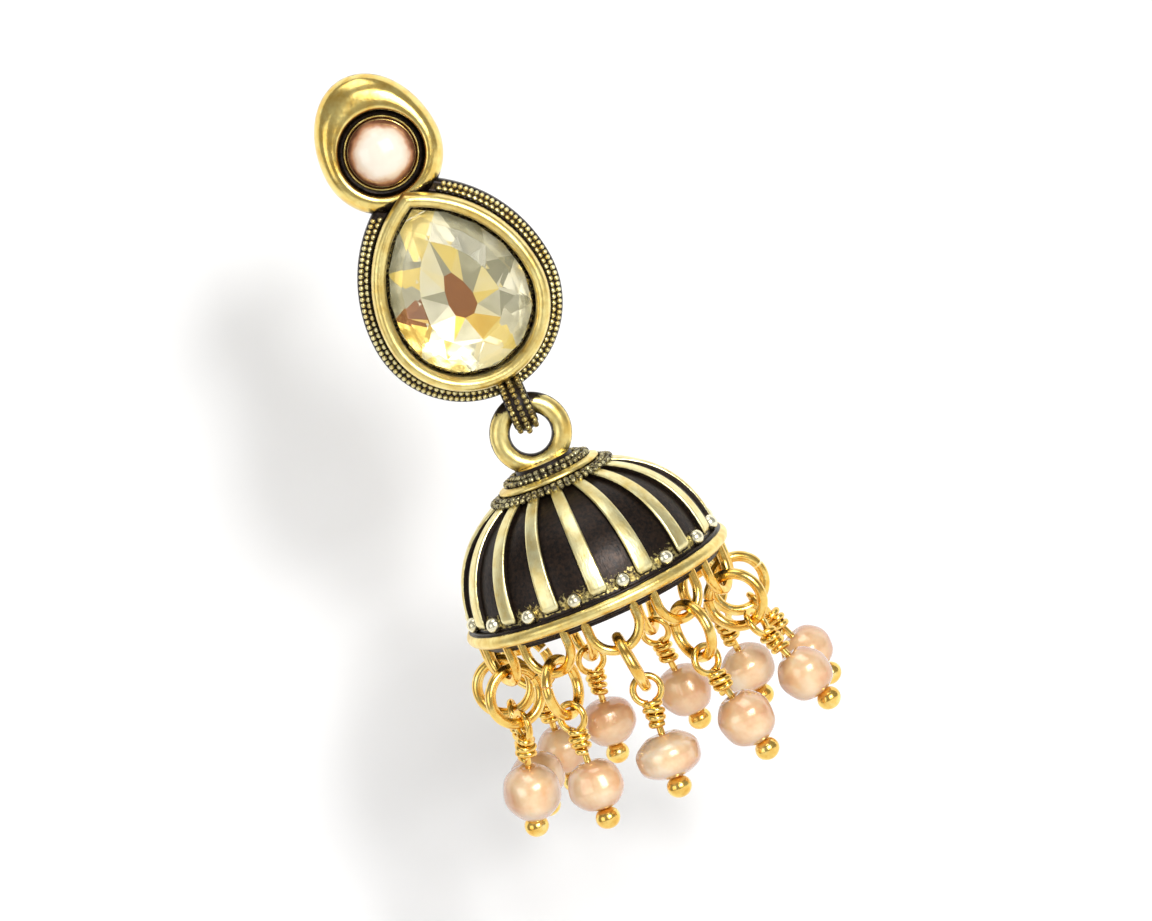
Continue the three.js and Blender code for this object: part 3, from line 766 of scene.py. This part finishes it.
def pearl_lustre():
    """Peach-pink nacre: soft clouds of tone, with painted shade that makes it deeper and redder toward the
    outline where the surface turns away, under a clear coat, with the faint pitting of a grown pearl."""
    f = Finish("pearl_lustre")
    tone = f.node("Attribute", attribute_name="patina_and_painted_light").outputs["Fac"]
    cloud = f.noise(0.7, 3, 0.55)
    body = f.curve(cloud, (0.3, colour(240, 190, 140)), (0.5, colour(252, 220, 174)),
                   (0.72, colour(255, 242, 212)))
    deeper = f.curve(cloud, (0.3, colour(216, 154, 108)), (0.7, colour(248, 206, 148)))
    body = f.mix(f.math("MULTIPLY", tone, 0.7), body, deeper)
    # Painted shade: the facing weight darkens and reddens the colour toward the pearl's outline.
    painted_edge_shade = f.node("LayerWeight", {"Blend": 0.5}).outputs["Facing"]
    f.set(Base_Color=f.mix(f.math("MULTIPLY", painted_edge_shade, 0.9), body, colour(160, 92, 56)))
    f.set(Roughness=0.24, IOR=1.5, Coat_Weight=0.7, Coat_Roughness=0.12, Coat_IOR=1.9, Metallic=0.15)
    f.set(Subsurface_Weight=0.15, Subsurface_Scale=0.0006)
    f.set(Normal=f.bump(f.noise(2.2, 3, 0.6), 0.03, 0.5))
    return f.material


def half_pearl_cream():
    """Cream pearl with painted shade toward the edge, pinkish brown and then dark brown, from the tone
    attribute, which runs from middle to edge.
    """
    f = Finish("half_pearl_cream")
    edge = f.node("Attribute", attribute_name="patina_and_painted_light").outputs["Fac"]
    cloud = f.noise(1.3, 3, 0.5)
    # Painted shade: browner and darker toward the edge.
    share = f.math("ADD", edge, f.math("MULTIPLY", f.math("SUBTRACT", cloud, 0.5), 0.7))
    f.set(Base_Color=f.curve(share, (0.1, colour(244, 232, 214)), (0.5, colour(238, 212, 184)),
                             (0.76, colour(196, 138, 102)), (0.98, colour(120, 76, 54))))
    f.set(Roughness=0.2, Coat_Weight=0.7, Coat_Roughness=0.05, Normal=f.bump(f.noise(2.0, 2), 0.02, 0.4))
    return f.material


def clear_glass():
    """The stone's clear crown, with a breath of champagne. Rays from the lamps pass to the foil behind it."""
    f = Finish("champagne_glass")
    f.set(Base_Color=f.curve(f.noise(0.4, 1), (0.3, colour(255, 253, 244)), (0.7, colour(255, 251, 232))))
    f.set(Roughness=0.015, IOR=1.5, Transmission_Weight=1.0)
    lamp_ray = f.node("LightPath").outputs["Is Shadow Ray"]
    clear = f.node("BsdfTransparent", {"Color": colour(252, 248, 232)}).outputs[0]
    through = f.node("MixShader", {0: lamp_ray, 1: f.surface.outputs[0], 2: clear}).outputs[0]
    f.put(f.tree.nodes["Material Output"].inputs["Surface"], through)
    return f.material


def foil_with_painted_reflections():
    """Foil behind the stone with painted reflections: each facet is brown, ochre, pale yellow, ivory or
    silver grey by its tone.
    """
    f = Finish("foil_with_painted_reflections")
    tone = f.node("Attribute", attribute_name="patina_and_painted_light").outputs["Fac"]
    cloud = f.math("MULTIPLY", f.math("SUBTRACT", f.noise(0.8, 2, 0.5), 0.5), 0.22)
    f.set(Base_Color=f.curve(f.math("ADD", tone, cloud),
                             (0.04, colour(158, 108, 74)), (0.12, colour(224, 186, 100)),
                             (0.26, colour(246, 224, 140)), (0.5, colour(244, 234, 192)),
                             (0.7, colour(240, 240, 234)), (0.9, colour(172, 172, 160))))
    f.set(Metallic=0.7, Roughness=0.16)
    return f.material


# ---- Building ----

polished = antique_gold("polished_gold", colour(252, 228, 142), colour(232, 190, 90), 0.2, 0.1)
satin = antique_gold("satin_gold", colour(253, 234, 156), colour(230, 194, 102), 0.3, 0.5)
# Painted highlight: a paler copy of the same gold, for the ribs and small beads that catch the light.
pale = antique_gold("pale_gold_painted_highlight", colour(253, 244, 190), colour(236, 212, 136), 0.32, 0.6)
# Painted highlight: a near-white copy of the same gold, for the granules.
bright = antique_gold("bright_gold_painted_highlight", colour(252, 248, 222), colour(238, 224, 176), 0.24, 0.2)
wire = wire_gold()
nacre = pearl_lustre()

piece("stud_plate", [plate_dome(), pearl_rim()], polished, "plate", ["stud_setting"])
piece("pear_setting", [pear_setting()], satin, "plate", ["stud_setting"])
piece("flange_beading", flange_beading(), pale, "plate", ["stud_setting"], sharp=80)
piece("eyelet", eyelet(), satin, "plate", ["stud_setting"], sharp=80)
piece("ear_post", [ear_post()], polished, "plate", ["stud_setting"])
piece("half_pearl_dome", [half_pearl_dome()], half_pearl_cream(), "plate", ["half_pearl"])
piece("stone_crown", [stone_crown()], clear_glass(), "plate", ["pear_stone"], flat=True)
piece("stone_foil", [stone_foil()], foil_with_painted_reflections(), "plate", ["pear_stone"], flat=True)

piece("bell_shell", [bell_shell()], satin, "drop", ["bell"])
piece("bell_ribs", [bell_ribs()], pale, "drop", ["bell"], sharp=60)
piece("rim_band", [rim_band()], satin, "drop", ["bell"], sharp=80)
piece("granules", [granules()], bright, "drop", ["bell"], sharp=80)
piece("bead_loops", [bead_loops()], wire, "drop", ["bell"], sharp=80)
piece("cap_beading", cap_beading(), pale, "drop", ["bell"], sharp=80)
piece("hanging_ring", [hanging_ring()], satin, "drop", ["bell"], sharp=80)

for number in range(1, LOOPS + 1):
    grown, pearl_height = pearl(number)
    piece(f"link_{number}", [jump_ring(number)], wire, "drop", [f"jump_ring_{number}"])
    piece(f"pin_{number}", head_pin(number, pearl_height), wire, "drop", [f"head_pin_{number}"],
          sharp=80)
    piece(f"grown_pearl_{number}", [grown], nacre, "drop", [f"pearl_{number}"], sharp=80)


# ---- Stage, light and camera, in metres ----

MIDDLE = Vector(((cad_low[0] + cad_high[0]) / 2, HINGE[1] * MM, (cad_low[2] + cad_high[2]) / 2))
FLOOR_BELOW, WALL_BEHIND, STAGE_BEND, STAGE_REACH = 0.03, 0.02, 0.04, 0.17
WORLD_LIGHT, WORLD_SEEN = 0.32, 1.0


def stage_sheet():
    """A pale floor that bends up into a wall behind the earring: a straight floor, a quarter turn and a
    straight wall, drawn out sideways. The wall lets light and sight through from behind."""
    floor_z, wall_y = cad_low[2] - FLOOR_BELOW, cad_high[1] + WALL_BEHIND
    t = np.linspace(0, math.pi / 2, 12)
    y = np.concatenate([[wall_y - STAGE_REACH], wall_y - STAGE_BEND + STAGE_BEND * np.sin(t), [wall_y]])
    z = np.concatenate([[floor_z], floor_z + STAGE_BEND * (1 - np.cos(t)), [floor_z + STAGE_REACH]])
    rows = np.arange(len(y) - 1)
    sides = [np.stack([np.full_like(y, x), y, z], -1) for x in (-STAGE_REACH, STAGE_REACH)]
    points = np.concatenate(sides)
    faces = np.stack([rows, rows + len(y), rows + len(y) + 1, rows + 1], -1)
    mesh = bpy.data.meshes.new("stage_sheet")
    mesh.from_pydata(points.tolist(), [], faces.tolist())
    mesh.shade_smooth()
    f = Finish("pale_paper")
    f.set(Base_Color=f.curve(f.noise(0.02, 2), (0.2, colour(247, 247, 247)), (0.8, colour(250, 250, 250))))
    f.set(Roughness=0.9, Specular_IOR_Level=0.1)
    behind = f.node("NewGeometry").outputs["Backfacing"]
    clear = f.node("BsdfTransparent").outputs[0]
    both = f.node("MixShader", {0: behind, 1: f.surface.outputs[0], 2: clear}).outputs[0]
    f.put(f.tree.nodes["Material Output"].inputs["Surface"], both)
    mesh.materials.append(f.material)
    sheet = bpy.data.objects.new("stage_sheet", mesh)
    bpy.context.scene.collection.objects.link(sheet)


def soft_light(name, place, size, power):
    """A square softbox at a place off the earring's middle, turned towards it."""
    lamp = bpy.data.lights.new(name, "AREA")
    lamp.shape, lamp.size, lamp.energy = "SQUARE", size, power
    obj = bpy.data.objects.new(name, lamp)
    obj.location = MIDDLE + Vector(place)
    obj.rotation_euler = (-Vector(place)).to_track_quat("-Z", "Y").to_euler()
    bpy.context.scene.collection.objects.link(obj)


def camera(elevation=8.4, roll=23.5, lens=130, across=0.0665, aside=0.0022, down=0.0024):
    """A long lens straight in front, a little above, rolled so that the earring hangs to the lower right, and
    moved aside and down in its own frame to centre it."""
    rise = math.radians(elevation)
    back = Vector((0, -math.cos(rise), math.sin(rise)))
    data = bpy.data.cameras.new("camera")
    data.lens = lens
    distance = across * lens / data.sensor_width
    obj = bpy.data.objects.new("camera", data)
    look = (-back).to_track_quat("-Z", "Y").to_matrix() @ Matrix.Rotation(-math.radians(roll), 3, "Z")
    obj.location = MIDDLE + back * distance + look @ Vector((aside, -down, 0))
    obj.rotation_euler = look.to_euler()
    bpy.context.scene.collection.objects.link(obj)
    bpy.context.scene.camera = obj


def studio_world():
    """An even white surround that lights the earring softly, and looks plain white to the camera."""
    world = bpy.data.worlds.new("studio")
    bpy.context.scene.world = world
    world.use_nodes = True
    tree = world.node_tree
    backdrop = tree.nodes["Background"]
    backdrop.inputs["Color"].default_value = (1, 1, 1, 1)
    seen = tree.nodes.new("ShaderNodeLightPath").outputs["Is Camera Ray"]
    strength = tree.nodes.new("ShaderNodeMapRange")
    strength.inputs["To Min"].default_value = WORLD_LIGHT
    strength.inputs["To Max"].default_value = WORLD_SEEN
    tree.links.new(seen, strength.inputs["Value"])
    tree.links.new(strength.outputs["Result"], backdrop.inputs["Strength"])


stage_sheet()
soft_light("key_light", (0.15, -0.42, 0.13), 0.28, 0.8)
soft_light("shadow_light", (0.17, -0.4, 0.15), 0.07, 0.8)
soft_light("fill_light", (-0.36, -0.3, 0.1), 0.3, 0.35)
soft_light("top_light", (0.05, -0.1, 0.42), 0.25, 0.35)
studio_world()
bpy.context.scene.view_settings.view_transform = "Standard"
camera()
